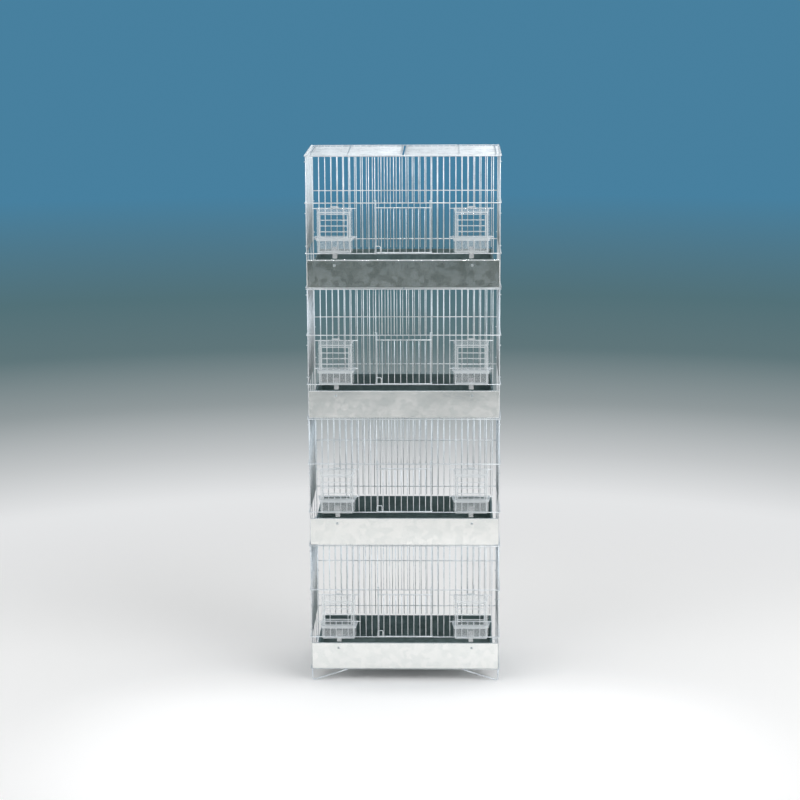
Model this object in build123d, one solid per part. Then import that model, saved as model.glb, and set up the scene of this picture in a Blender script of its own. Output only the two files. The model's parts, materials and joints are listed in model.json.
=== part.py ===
from build123d import *
import os

# A stack of four wire breeding cages for small birds. Each cage has welded wire grilles on five
# sides, a sheet-steel drawer for a floor, a guillotine door and two clear feeders that tip outwards.
# X runs left to right, the front faces -Y and Z is up. The origin is on the floor, under the middle
# of the whole stack with its feeders. All sizes are in millimetres.

# The stack
CAGE_COUNT = 4
CAGE_WIDTH = 450.0
CAGE_DEPTH = 250.0
CAGE_PITCH = 306.0
STAND_HEIGHT = 29.0

# Wire, drawn as square bars apart from the bottom rail that the feeders tip on
WIRE_PITCH = 14.2
END_GAP_PITCHES = 0.8
FILL_WIRE = 1.8
RAIL_WIRE = 2.4
POST_WIRE = 3.2
CROSS_WIRE = 2.0

# Heights of the rails' middles above a cage's base
BOTTOM_RAIL = 80.0
MIDDLE_RAIL = 196.0
TOP_RAIL_DROP = 2.4
BASE_RAIL = 1.6
REAR_WIRE_FOOT = 60.0

# Counts of wire pitches across the front
DOOR_PITCHES = 9
HATCH_CENTRE_PITCHES = 11
HATCH_FRAME_PITCHES = 7
HATCH_HOLE_PITCHES = 3
ROOF_BRACE_PITCHES = 9
STRUT_PITCHES = 3
STUB_PITCHES = 7

# Feeder hatch, its sill above the bottom rail and its head below the middle rail
HATCH_SILL_RISE = 38.0
HATCH_HEAD_DROP = 12.4

# Roof slot for a divider
ROOF_SLOT = 4.6

# Drawer
SHEET = 1.0
FRONT_SHEET = 1.2
DRAWER_FRONT_TOP = 66.0
DRAWER_FRONT_FOOT = 1.2
DRAWER_FRONT_INSET = 0.5
DRAWER_END_GAP = 0.9
ROLLED_EDGE = 3.6
PAN_SIDE_GAP = 14.4
PAN_HEIGHT = 50.0
PAN_REAR_GAP = 3.8
RUNNER_INSET = 5.0
SLIDE_GAP = 0.3

# Door
DOOR_GAP = 0.4
DOOR_HEAD_GAP = 8.0
DOOR_HOOK = 2.0
HOOK_GAP = 0.5
HOOK_SEAT_GAP = 0.4
HOOK_TAIL = 3.8
HORN_RISE = 5.0
PULL_WIDTH = 14.0
PULL_HEIGHT = 17.0

# Feeder
FEEDER_REACH = 43.0
FEEDER_WALL = 1.6
FEEDER_BACK_WIDTH = 83.0
FEEDER_FRONT_WIDTH = 75.0
FEEDER_GAP = 2.0
CUP_FLOOR = 4.0
CUP_RIM = 40.0
CUP_FRONT_LEAN = 7.0
CUP_NOSE_RADIUS = 12.0
RIM_FLANGE = 2.0
HOOD_NOSE_DROP = 8.6
HOOD_FRONT_LEAN = 2.0
WINDOW_WIDTH = 51.0
WINDOW_SLOTS = 4
WINDOW_BAR = 2.4
WINDOW_SILL = 4.0
WINDOW_HEAD = 8.0
TONGUE_WIDTH = 18.0
TONGUE_GAP = 0.4
TONGUE_LAP = 3.6

# Clip that the feeder tips on
CLIP_WALL = 1.6
CLIP_BORE_GAP = 0.1
CLIP_SIDE_GAP = 0.9
CLIP_MOUTH = 1.8
CLIP_CHAMFER = 1.0
CLIP_TAIL_GAP = 3.0
CLIP_RISE = 16.0

# Stand
FLOOR_RUN = 12.0
BRACE_RUN = 74.0

# Planes and places worked out from the sizes above
Y_MIDDLE = FEEDER_REACH / 2
FRONT_FACE = Y_MIDDLE - CAGE_DEPTH / 2
REAR_FACE = Y_MIDDLE + CAGE_DEPTH / 2
FRONT_WIRES = FRONT_FACE + RAIL_WIRE
REAR_WIRES = REAR_FACE - RAIL_WIRE
SIDE_FACE = CAGE_WIDTH / 2
SIDE_WIRES = SIDE_FACE - RAIL_WIRE
POST_MIDDLE = SIDE_WIRES - POST_WIRE / 2
TOP_RAIL = CAGE_PITCH - TOP_RAIL_DROP
WIRE_HEAD = TOP_RAIL + RAIL_WIRE / 2
WIRE_FOOT = BOTTOM_RAIL - RAIL_WIRE / 2
HALF_COUNT = round(POST_MIDDLE / WIRE_PITCH - END_GAP_PITCHES)
DEPTH_COUNT = int((CAGE_DEPTH / 2 - RAIL_WIRE - FILL_WIRE - POST_WIRE - FILL_WIRE / 2) / WIRE_PITCH)
HINGE_Y = FRONT_WIRES - RAIL_WIRE / 2
FEEDER_BACK = FRONT_FACE - FEEDER_GAP
FEEDER_FRONT = FRONT_FACE - FEEDER_REACH
RUNNER_TOP = BASE_RAIL + RAIL_WIRE / 2 + RAIL_WIRE
PAN_HALF_WIDTH = SIDE_WIRES - POST_WIRE - PAN_SIDE_GAP
HATCH_SILL = BOTTOM_RAIL + HATCH_SILL_RISE
HATCH_HEAD = MIDDLE_RAIL - HATCH_HEAD_DROP
RIM_TOP = BOTTOM_RAIL + CUP_RIM


def bar(x, y, z):
    """A straight square-cut wire that fills the given spans."""
    middle = Pos((x[0] + x[1]) / 2, (y[0] + y[1]) / 2, (z[0] + z[1]) / 2)
    return middle * Box(x[1] - x[0], y[1] - y[0], z[1] - z[0])


def span(middle, size):
    """The low and high end of a size about its middle."""
    return (middle - size / 2, middle + size / 2)


def front_pitches():
    """Places of the front and rear upright wires, in pitches from the middle."""
    half = [n + 0.5 for n in range(HALF_COUNT)]
    return [-k for k in reversed(half)] + half


def end_wires(y, z):
    """The two upright wires at a grille's ends, which lie against the corner posts."""
    return [bar(span(side * POST_MIDDLE, FILL_WIRE), y, z) for side in (-1, 1)]


def cross_rails(y, heights):
    """Left-to-right rails between the side grilles."""
    reach = (-SIDE_WIRES, SIDE_WIRES)
    return [bar(reach, y, span(z, RAIL_WIRE)) for z in heights]


def front_grille():
    wires_y = (FRONT_WIRES, FRONT_WIRES + FILL_WIRE)
    rails_y = (FRONT_FACE, FRONT_WIRES)
    cross_y = (FRONT_WIRES - CROSS_WIRE, FRONT_WIRES)
    solids = end_wires(wires_y, (WIRE_FOOT, WIRE_HEAD))
    for k in front_pitches():
        x = span(k * WIRE_PITCH, FILL_WIRE)
        if abs(k) < DOOR_PITCHES / 2:
            solids.append(bar(x, wires_y, (MIDDLE_RAIL - RAIL_WIRE / 2, WIRE_HEAD)))
        elif abs(abs(k) - HATCH_CENTRE_PITCHES) < HATCH_HOLE_PITCHES / 2:
            solids.append(bar(x, wires_y, (WIRE_FOOT, HATCH_SILL + CROSS_WIRE / 2)))
            solids.append(bar(x, wires_y, (HATCH_HEAD - CROSS_WIRE / 2, WIRE_HEAD)))
        else:
            solids.append(bar(x, wires_y, (WIRE_FOOT, WIRE_HEAD)))
    solids += cross_rails(rails_y, (MIDDLE_RAIL, TOP_RAIL))
    for side in (-1, 1):
        frame = HATCH_FRAME_PITCHES * WIRE_PITCH + FILL_WIRE
        reach = span(side * HATCH_CENTRE_PITCHES * WIRE_PITCH, frame)
        solids += [bar(reach, cross_y, span(z, CROSS_WIRE)) for z in (HATCH_SILL, HATCH_HEAD)]
    hinge_rail = Rot(0, 90, 0) * Cylinder(RAIL_WIRE / 2, 2 * SIDE_WIRES)
    solids.append(Pos(0, HINGE_Y, BOTTOM_RAIL) * hinge_rail)
    return solids


def rear_grille():
    wires_y = (REAR_WIRES - FILL_WIRE, REAR_WIRES)
    height = (REAR_WIRE_FOOT, WIRE_HEAD)
    solids = end_wires(wires_y, height)
    solids += [bar(span(k * WIRE_PITCH, FILL_WIRE), wires_y, height) for k in front_pitches()]
    solids += cross_rails((REAR_WIRES, REAR_FACE), (BOTTOM_RAIL, MIDDLE_RAIL, TOP_RAIL))
    return solids


def side_grille(side):
    """The left (-1) or right (1) grille, with its corner posts and the runner for the drawer."""
    rails_x = sorted((side * SIDE_WIRES, side * SIDE_FACE))
    wires_x = sorted((side * (SIDE_WIRES - FILL_WIRE), side * SIDE_WIRES))
    posts_x = sorted((side * (SIDE_WIRES - POST_WIRE), side * SIDE_WIRES))
    depth = (FRONT_FACE, REAR_FACE)
    solids = []
    for k in range(-DEPTH_COUNT, DEPTH_COUNT + 1):
        foot = BASE_RAIL - RAIL_WIRE / 2 if abs(k) == STRUT_PITCHES else WIRE_FOOT
        y = span(Y_MIDDLE + k * WIRE_PITCH, FILL_WIRE)
        solids.append(bar(wires_x, y, (foot, WIRE_HEAD)))
    for z in (BASE_RAIL, BOTTOM_RAIL, MIDDLE_RAIL, TOP_RAIL):
        solids.append(bar(rails_x, depth, span(z, RAIL_WIRE)))
    front_post = FRONT_WIRES + FILL_WIRE
    rear_post = REAR_WIRES - FILL_WIRE
    for y in ((front_post, front_post + POST_WIRE), (rear_post - POST_WIRE, rear_post)):
        solids.append(bar(posts_x, y, (0, CAGE_PITCH)))
    runner_x = span(side * (PAN_HALF_WIDTH - RUNNER_INSET), RAIL_WIRE)
    stub_x = sorted((side * SIDE_WIRES, side * (PAN_HALF_WIDTH - RUNNER_INSET - RAIL_WIRE / 2)))
    for step in (-1, 0, 1):
        y = span(Y_MIDDLE + step * STUB_PITCHES * WIRE_PITCH, RAIL_WIRE)
        solids.append(bar(stub_x, y, span(BASE_RAIL, RAIL_WIRE)))
    solids.append(bar(runner_x, (front_post, rear_post), span(RUNNER_TOP - RAIL_WIRE / 2, RAIL_WIRE)))
    return solids


def roof_grille():
    """Two half roofs of left-to-right wires, hung under front-to-back braces."""
    braces_z = span(TOP_RAIL, RAIL_WIRE)
    wires_z = (braces_z[0] - FILL_WIRE, braces_z[0])
    slot_brace = ROOF_SLOT / 2 + RAIL_WIRE / 2
    solids = []
    for side in (-1, 1):
        reach = sorted((side * ROOF_SLOT / 2, side * (SIDE_WIRES - FILL_WIRE)))
        for k in range(-DEPTH_COUNT, DEPTH_COUNT + 1):
            y = span(Y_MIDDLE + k * WIRE_PITCH, FILL_WIRE)
            solids.append(bar(reach, y, wires_z))
        for x in (slot_brace, ROOF_BRACE_PITCHES * WIRE_PITCH, HALF_COUNT * WIRE_PITCH):
            solids.append(bar(span(side * x, RAIL_WIRE), (FRONT_WIRES, REAR_WIRES), braces_z))
    return solids


def door():
    """The guillotine door: wires on two bars, side wires with hooks behind the guide wires, a pull."""
    guide = DOOR_PITCHES / 2 * WIRE_PITCH
    back = FRONT_FACE - DOOR_GAP
    wires_y = (back - FILL_WIRE, back)
    bars_y = (wires_y[0] - RAIL_WIRE, wires_y[0])
    sides_y = (bars_y[1], back)
    foot = BOTTOM_RAIL + RAIL_WIRE / 2 + HOOK_SEAT_GAP
    head = MIDDLE_RAIL - RAIL_WIRE / 2 - DOOR_HEAD_GAP
    horn = MIDDLE_RAIL + RAIL_WIRE / 2 + HORN_RISE
    leg_out = guide - FILL_WIRE / 2 - HOOK_GAP
    hook_back = FRONT_WIRES + FILL_WIRE + HOOK_GAP + DOOR_HOOK
    solids = []
    for k in front_pitches():
        if abs(k) < DOOR_PITCHES / 2:
            solids.append(bar(span(k * WIRE_PITCH, FILL_WIRE), wires_y, (foot, head)))
    side_out = leg_out + RAIL_WIRE
    for z in ((foot, foot + RAIL_WIRE), (head - RAIL_WIRE, head)):
        solids.append(bar((-side_out, side_out), bars_y, z))
    for side in (-1, 1):
        solids.append(bar(sorted((side * leg_out, side * side_out)), sides_y, (foot, horn)))
        leg_x = sorted((side * (leg_out - DOOR_HOOK), side * leg_out))
        tail_x = sorted((side * leg_out, side * (leg_out + HOOK_TAIL)))
        for z in ((foot, foot + DOOR_HOOK), (horn - DOOR_HOOK, horn)):
            solids.append(bar(leg_x, (wires_y[0], hook_back), z))
            solids.append(bar(tail_x, (hook_back - DOOR_HOOK, hook_back), z))
    pull_y = (bars_y[0] - CROSS_WIRE, bars_y[0])
    pull_x = (-side_out, -side_out + PULL_WIDTH)
    pull_z = (foot, foot + PULL_HEIGHT)
    for x in ((pull_x[0], pull_x[0] + CROSS_WIRE), (pull_x[1] - CROSS_WIRE, pull_x[1])):
        solids.append(bar(x, pull_y, pull_z))
    for z in ((pull_z[0], pull_z[0] + CROSS_WIRE), (pull_z[1] - CROSS_WIRE, pull_z[1])):
        solids.append(bar((pull_x[0] + CROSS_WIRE, pull_x[1] - CROSS_WIRE), pull_y, z))
    return solids


def drawer_plane():
    """Where the drawer's front sheet meets the pan."""
    return FRONT_FACE + DRAWER_FRONT_INSET + FRONT_SHEET


def drawer_pan():
    y = (drawer_plane(), REAR_WIRES - FILL_WIRE - PAN_REAR_GAP)
    z = (RUNNER_TOP + SLIDE_GAP, RUNNER_TOP + SLIDE_GAP + PAN_HEIGHT)
    outside = bar((-PAN_HALF_WIDTH, PAN_HALF_WIDTH), y, z)
    hollow_x = (-PAN_HALF_WIDTH + SHEET, PAN_HALF_WIDTH - SHEET)
    hollow = bar(hollow_x, (y[0] + SHEET, y[1] - SHEET), (z[0] + SHEET, z[1] + SHEET))
    return [outside - hollow]


def drawer_front():
    """A flat sheet with its top edge rolled outwards into a bead."""
    half = SIDE_WIRES - POST_WIRE - DRAWER_END_GAP
    y = (FRONT_FACE + DRAWER_FRONT_INSET, drawer_plane())
    bead = ROLLED_EDGE / 2
    sheet = bar((-half, half), y, (DRAWER_FRONT_FOOT, DRAWER_FRONT_TOP - bead))
    roll = Rot(0, 90, 0) * Cylinder(bead, 2 * half)
    return [sheet + Pos(0, sum(y) / 2, DRAWER_FRONT_TOP - bead) * roll]


def feeder_plan(inset, skirt=0.0):
    """The feeder's outline from above, drawn in by inset or let out by skirt at the front and sides."""
    back = FEEDER_BACK - inset
    front = FEEDER_FRONT + RIM_FLANGE + inset - skirt
    wide = FEEDER_BACK_WIDTH / 2 - inset + skirt
    narrow = FEEDER_FRONT_WIDTH / 2 - inset + skirt
    corners = [(-wide, back), (wide, back), (narrow, front), (-narrow, front)]
    return make_face(Polyline(*corners, close=True))


def side_solid(corners, width):
    """A solid with the given outline in the Y-Z plane, as wide as the feeder."""
    outline = make_face(Polyline(*corners, close=True))
    return Pos(-width / 2, 0, 0) * extrude(Plane.YZ * outline, amount=width)


def cup_block(inset, top):
    """The cup's outside, or its hollow when inset by the wall."""
    floor = BOTTOM_RAIL + CUP_FLOOR + inset
    front = FEEDER_FRONT + RIM_FLANGE + inset
    back = FEEDER_BACK - inset
    corners = [(back, floor), (back, top), (front, top), (front + CUP_FRONT_LEAN, floor)]
    block = side_solid(corners, FEEDER_BACK_WIDTH)
    nose = block.edges().filter_by(Axis.X).sort_by(Axis.Z)[:2].sort_by(Axis.Y)[0]
    block = fillet(nose, CUP_NOSE_RADIUS - inset)
    return block & extrude(feeder_plan(inset), amount=top)


def feeder_cup():
    flange = Pos(0, 0, RIM_TOP - RIM_FLANGE) * extrude(feeder_plan(0, RIM_FLANGE), amount=RIM_FLANGE)
    return [cup_block(0, RIM_TOP) + flange - cup_block(FEEDER_WALL, RIM_TOP + FEEDER_WALL)]


def hood_block(inset, foot, head):
    """The hood's outside, or its hollow when inset by the wall."""
    front = FEEDER_FRONT + RIM_FLANGE + inset
    nose = head - HOOD_NOSE_DROP
    corners = [(FEEDER_BACK, foot), (FEEDER_BACK, head), (front + HOOD_FRONT_LEAN, nose), (front, foot)]
    plan = extrude(feeder_plan(inset), amount=head)
    if inset:
        mouth = span(0, FEEDER_BACK_WIDTH - 2 * inset)
        plan = plan + bar(mouth, (FEEDER_BACK - inset, FEEDER_BACK), (0, head))
    return side_solid(corners, FEEDER_BACK_WIDTH) & plan


def feeder_hood():
    head = HATCH_HEAD + CROSS_WIRE / 2 + TONGUE_GAP + FEEDER_WALL
    hollow = hood_block(FEEDER_WALL, RIM_TOP - FEEDER_WALL, head - FEEDER_WALL)
    hood = hood_block(0, RIM_TOP, head) - hollow
    window = span(0, WINDOW_WIDTH)
    front = FEEDER_FRONT + RIM_FLANGE
    deep = (front, front + HOOD_FRONT_LEAN + 2 * FEEDER_WALL)
    window_foot = RIM_TOP + WINDOW_SILL
    window_head = head - HOOD_NOSE_DROP - WINDOW_HEAD
    step = (window_head - window_foot + WINDOW_BAR) / WINDOW_SLOTS
    for n in range(WINDOW_SLOTS):
        low = window_foot + n * step
        hood -= bar(window, deep, (low, low + step - WINDOW_BAR))
    tongue = bar(span(0, TONGUE_WIDTH), (FEEDER_BACK, FEEDER_BACK + TONGUE_LAP), (head - FEEDER_WALL, head))
    return [hood + tongue]


def feeder_clip():
    """A plate on the cup's back with a split jaw that snaps round the bottom rail."""
    bore = RAIL_WIRE / 2 + CLIP_BORE_GAP
    width = WIRE_PITCH - FILL_WIRE - 2 * CLIP_SIDE_GAP
    plate_y = (FEEDER_BACK, FEEDER_BACK + CLIP_WALL)
    rail = Pos(HINGE_Y, BOTTOM_RAIL)
    jaw = 2 * (bore + CLIP_WALL)
    block = chamfer(Rectangle(jaw, jaw).vertices().sort_by(Axis.X)[2:], CLIP_CHAMFER)
    low = DRAWER_FRONT_TOP + CLIP_TAIL_GAP
    high = BOTTOM_RAIL + CLIP_RISE
    plate = Pos(sum(plate_y) / 2, (low + high) / 2) * Rectangle(CLIP_WALL, high - low)
    mouth = Pos(jaw / 2, 0) * Rectangle(jaw, CLIP_MOUTH)
    profile = plate + rail * (block - mouth) - rail * Circle(bore)
    return [Pos(-width / 2, 0, 0) * extrude(Plane.YZ * profile, amount=width)]


def stand(y_low):
    """A wire trestle under the two posts at the front or the rear."""
    y = (y_low, y_low + POST_WIRE)
    inner = SIDE_WIRES - POST_WIRE
    bar_foot = STAND_HEIGHT - RAIL_WIRE
    solids = [bar((-inner, inner), span(sum(y) / 2, RAIL_WIRE), (bar_foot, STAND_HEIGHT))]
    start = inner - FLOOR_RUN
    lift = BRACE_RUN * POST_WIRE / bar_foot
    for side in (-1, 1):
        solids.append(bar(sorted((side * inner, side * SIDE_WIRES)), y, (0, STAND_HEIGHT)))
        solids.append(bar(sorted((side * start, side * inner)), y, (0, POST_WIRE)))
        low_end = [(start, 0), (start, POST_WIRE)]
        high_end = [(start - BRACE_RUN + lift, bar_foot), (start - BRACE_RUN, bar_foot)]
        corners = [(side * x, z) for x, z in low_end + high_end]
        brace = extrude(Plane.XZ * make_face(Polyline(*corners, close=True)), amount=POST_WIRE)
        solids.append(Pos(0, y[1], 0) * brace)
    return solids


def save(name, solids, place):
    """Writes one piece, with its solids moved to their place, as a STEP file."""
    moved = [place * solid for part in solids for solid in part.solids()]
    export_step(moved[0] if len(moved) == 1 else Compound(moved), f"parts/{name}.step")


os.makedirs("parts", exist_ok=True)

cage_pieces = {
    "front_grille": front_grille(),
    "rear_grille": rear_grille(),
    "left_grille": side_grille(-1),
    "right_grille": side_grille(1),
    "roof_grille": roof_grille(),
    "door": door(),
    "drawer_pan": drawer_pan(),
    "drawer_front": drawer_front(),
}
feeder_pieces = {
    "feeder_cup": feeder_cup(),
    "feeder_hood": feeder_hood(),
    "feeder_clip": feeder_clip(),
}

for number in range(1, CAGE_COUNT + 1):
    base = Pos(0, 0, STAND_HEIGHT + (number - 1) * CAGE_PITCH)
    for name, solids in cage_pieces.items():
        save(f"cage_{number}_{name}", solids, base)
    for name, solids in feeder_pieces.items():
        for side, side_name in ((-1, "left"), (1, "right")):
            place = base * Pos(side * HATCH_CENTRE_PITCHES * WIRE_PITCH, 0, 0)
            save(f"cage_{number}_{side_name}_{name}", solids, place)

save("front_stand", stand(FRONT_WIRES + FILL_WIRE), Pos(0, 0, 0))
save("rear_stand", stand(REAR_WIRES - FILL_WIRE - POST_WIRE), Pos(0, 0, 0))
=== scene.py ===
import json
import math

import bmesh
import bpy
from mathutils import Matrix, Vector

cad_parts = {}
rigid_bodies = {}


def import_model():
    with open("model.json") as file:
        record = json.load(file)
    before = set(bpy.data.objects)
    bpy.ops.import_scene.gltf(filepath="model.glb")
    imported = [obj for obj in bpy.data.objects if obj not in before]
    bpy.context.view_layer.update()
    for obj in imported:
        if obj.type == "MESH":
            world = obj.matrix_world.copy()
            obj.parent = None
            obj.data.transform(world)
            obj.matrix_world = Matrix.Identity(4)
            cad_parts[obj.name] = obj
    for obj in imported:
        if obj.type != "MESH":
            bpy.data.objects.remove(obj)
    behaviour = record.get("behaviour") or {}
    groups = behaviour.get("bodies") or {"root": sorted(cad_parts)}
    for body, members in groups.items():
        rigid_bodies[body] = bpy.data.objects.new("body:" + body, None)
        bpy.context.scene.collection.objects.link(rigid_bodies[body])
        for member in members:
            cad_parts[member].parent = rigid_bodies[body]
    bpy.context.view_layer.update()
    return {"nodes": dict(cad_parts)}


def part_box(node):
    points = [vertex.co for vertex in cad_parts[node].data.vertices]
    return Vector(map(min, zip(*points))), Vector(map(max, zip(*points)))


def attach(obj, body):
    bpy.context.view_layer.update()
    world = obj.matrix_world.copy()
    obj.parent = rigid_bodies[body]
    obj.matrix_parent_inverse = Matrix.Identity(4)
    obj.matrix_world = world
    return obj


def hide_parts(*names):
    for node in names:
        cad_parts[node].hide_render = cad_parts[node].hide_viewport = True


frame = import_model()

bl_info = {
    "name": "Stacking bird cages",
    "version": (1, 0, 0),
    "blender": (4, 5, 0),
    "location": "View3D > Sidebar > Cages",
    "description": "Models and finishes a stack of four wire cages with drawers and feeders",
    "category": "Object",
}

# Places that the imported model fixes, in metres
FRONT_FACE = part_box("cage_1_front_grille")[0].y
REAR_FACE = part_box("cage_1_rear_grille")[1].y
SIDE_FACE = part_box("cage_1_right_grille")[1].x
STACK_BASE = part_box("cage_1_right_grille")[0].z
CAGE_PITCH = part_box("cage_2_right_grille")[0].z - STACK_BASE
CAGE_COUNT = sum(node.endswith("roof_grille") for node in frame["nodes"])
MIDDLE_Y = (FRONT_FACE + REAR_FACE) / 2
CUP_LOW, CUP_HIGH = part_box("cage_1_right_feeder_cup")
HOOD_LOW, HOOD_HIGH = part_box("cage_1_right_feeder_hood")
FEEDER_X = (HOOD_LOW.x + HOOD_HIGH.x) / 2
PAN_LOW, PAN_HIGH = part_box("cage_1_drawer_pan")
SHEET_LOW, SHEET_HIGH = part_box("cage_1_drawer_front")
DOOR_LOW, DOOR_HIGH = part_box("cage_1_door")
SIDES = {"left": -1, "right": 1}
UP = Vector((0, 0, 1))

# Runs of upright wires: the first wire's place, in pitches from the middle, and the number of wires
FULL_RUNS = ((-14.5, 3), (-9.5, 6), (4.5, 6), (12.5, 3))
DOOR_RUNS = ((-3.5, 8),)
HATCH_RUNS = ((-11.5, 2), (10.5, 2))
SIDE_RUNS = ((-8, 5), (-2, 5), (4, 5))
PAIR = ((-0.5, 2),)

# Places in pitches from the middle
HATCH_BARS = (-14.5, 7.5)
HATCH_SPAN = 7
DOOR_EDGE = 4
GUIDE_WIRE = 4.5
LONG_WIRE = 3
RUNNER_STUB = 7
ROOF_BRACE = 9

# How fine the round shapes are
WIRE_SIDES = 10
BEND_STEPS = 4
RING_SIDES = 8
RING_STEPS = 20
ROLL_STEPS = 14

# Rounding of a wire's tip, in radii
TIP_INSET = 0.35
TIP_RISE = 0.3

# How far a face's normal lies along an axis
FLAT = 0.95
MOSTLY = 0.9
SQUARE = 0.99
ROUNDED = 0.93

# Angles up to which edges are smoothed, in degrees, and from which they are softened, in radians
SMOOTH_WIRE = 50
SMOOTH_SHEET = 40
SMOOTH_MOULD = 35
SOFT_SHEET = 0.7
SOFT_MOULD = 0.8

# How close a corner has to be to count as at a place, in metres
SLACK = 0.0002


def maker(kind, **limits):
    """A short form for one kind of value that a user can change."""
    def make(name, description, default):
        return kind(name=name, description=description, default=default, **limits)
    return make


length = maker(bpy.props.FloatProperty, min=0.0, precision=5, unit="LENGTH")
share = maker(bpy.props.FloatProperty, min=0.0, max=1.0, subtype="FACTOR")
watts = maker(bpy.props.FloatProperty, min=0.0, unit="POWER")
degrees = maker(bpy.props.FloatProperty, subtype="ANGLE")
focal = maker(bpy.props.FloatProperty, subtype="DISTANCE_CAMERA")
whole = maker(bpy.props.IntProperty, min=1)
colour = maker(bpy.props.FloatVectorProperty, size=3, min=0.0, max=1.0, subtype="COLOR")
spot = maker(bpy.props.FloatVectorProperty, size=3, subtype="TRANSLATION", unit="LENGTH")


class CAGE_PG_wires(bpy.types.PropertyGroup):
    """Sizes of the grilles, with heights over the cage's base"""
    fill: length("Fill wire radius", "Half the thickness of the upright and roof wires", 0.0010)
    rail: length("Rail radius", "Half the thickness of the cross rails", 0.0012)
    post: length("Post radius", "Half the thickness of the corner posts", 0.0017)
    cross: length("Hatch wire radius", "Half the thickness of the wires over and under a hatch", 0.0010)
    pitch: length("Wire pitch", "From one upright wire to the next", 0.0142)
    half_count: whole("Wires each side", "Upright wires from the middle to one corner", 15)
    depth_count: whole("Wires each way", "Side and roof wires from the middle one", 8)
    seat: share("Wire seat", "How far a wire stands off the rail it is welded to, in radii", 0.9)
    play: length("Play", "Gap between pieces that aren't welded", 0.0004)
    post_inset: length("Post inset", "From a rail's inside to the middle of a post", 0.0016)
    bottom_rail: length("Bottom rail", "Height of the rail that the feeders tip on", 0.080)
    middle_rail: length("Middle rail", "Height of the rail over the door", 0.196)
    top_rail: length("Top rail", "Height of the rails round the roof", 0.3036)
    base_rail: length("Base rail", "Height of the rail at a side's foot", 0.0016)
    rear_foot: length("Rear wire foot", "Height at which the rear wires end", 0.060)
    hatch_sill: length("Hatch sill", "Height of the wire under a feeder hatch", 0.118)
    hatch_head: length("Hatch head", "Height of the wire over a feeder hatch", 0.1836)
    roof_slot: length("Roof slot", "Gap between the two half roofs", 0.0046)
    runner: length("Runner place", "From the middle to the wire that the drawer slides on", 0.200)
    runner_end: length("Runner end", "From the cage's face to the end of a runner", 0.0042)
    weld: length("Weld size", "Half the width of the bead where two wires are welded", 0.0013)
    weld_flat: share("Weld flatness", "Thickness of a bead of weld, as a share of its width", 0.55)
    ring: length("Corner ring radius", "Middle of the wire of the rings that tie the corners", 0.0034)
    ring_wire: length("Ring wire radius", "Half the thickness of the ring's wire", 0.00075)
    ring_gap: degrees("Ring gap", "Half the opening of a ring", math.radians(18))
    ring_heights: spot("Ring heights", "Heights of the three rings at a corner", (0.097, 0.172, 0.290))


class CAGE_PG_door(bpy.types.PropertyGroup):
    """Sizes of the sliding doors"""
    wire: length("Door wire radius", "Half the thickness of the door's wires and hooks", 0.0009)
    bar: length("Door bar radius", "Half the thickness of the bars that join the wires", 0.0012)
    pull: length("Pull wire radius", "Half the thickness of the pull loop", 0.0010)
    bend: length("Bend radius", "Middle radius of the hooks' bends", 0.0018)
    tail: length("Hook depth", "From the front's face to the tails of the hooks", 0.0057)
    overhang: length("Bar overhang", "How far the bars reach past the hooks", 0.0033)
    head: length("Door head", "Height of the upper bar's middle", 0.1856)
    pull_width: length("Pull width", "Outside width of the pull loop", 0.014)
    pull_height: length("Pull height", "Outside height of the pull loop", 0.017)
    pull_bend: length("Pull bend", "Middle radius of the pull loop's bends", 0.003)


class CAGE_PG_drawer(bpy.types.PropertyGroup):
    """Sizes of the sheet drawers"""
    gauge: length("Sheet thickness", "Thickness of the folded sheet", 0.0009)
    bead: length("Rolled edge radius", "Outside radius of the rolled top edge", 0.0013)
    roll: degrees("Rolled edge turn", "How far the top edge is rolled", math.radians(265))
    inset: length("Front inset", "From the grille's face to the front sheet", 0.0005)
    hem: length("Front hem", "Depth of the folded edges of the front sheet", 0.0026)
    crease: length("Hem crease", "Setback of the front sheet's folds", 0.0008)
    lap: length("Front lap", "How far each end of the front sheet reaches past the solid", 0.0022)
    fold: length("Fold radius", "Outside radius of the pan's folds", 0.0016)
    rim: length("Pan rim", "Width of the pan's turned-out rim", 0.0024)
    cut: length("Cut edge", "Width of the softened cut edges of the pan", 0.00025)
    rivet: length("Rivet radius", "Half the width of a rivet's head", 0.0030)
    rivet_rise: share("Rivet rise", "Height of a rivet's head, in radii", 0.3)
    rivet_x: length("Rivet place", "From the middle of the front to a rivet", 0.158)
    rivet_z: length("Rivet height", "Height of the rivets over the cage's base", 0.0525)


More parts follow.
